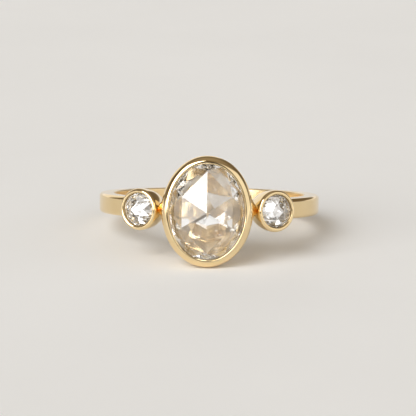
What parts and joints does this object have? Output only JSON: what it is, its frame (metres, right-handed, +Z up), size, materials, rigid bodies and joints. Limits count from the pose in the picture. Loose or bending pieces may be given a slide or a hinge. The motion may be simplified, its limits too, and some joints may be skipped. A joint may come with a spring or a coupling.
{
  "type": "three stone ring",
  "caption": "Slim gold finger ring with an oval rose cut stone between two small round ones, each in a bezel cup. It lies on its side.",
  "frame": {"origin": "on the surface that the ring lies on, under the middle of its bounding box", "axes": "+Z up, -Y the way the centre stone faces, +X towards the right-hand side stone as seen from the front; the finger's axis leans 10.4 degrees from +Z towards +Y"},
  "size_m": [0.02, 0.0244, 0.0097],
  "materials": {
    "gold": "polished 14 karat yellow gold with fine wear",
    "centre_stone": "clear, faintly warm rose cut stone with a flat back",
    "side_stone": "clear rose cut stone with a flat back"
  },
  "bodies": {
    "root": {"setting": "gold", "centre_stone": "centre_stone", "left_stone": "side_stone", "right_stone": "side_stone"}
  },
  "joints": []
}
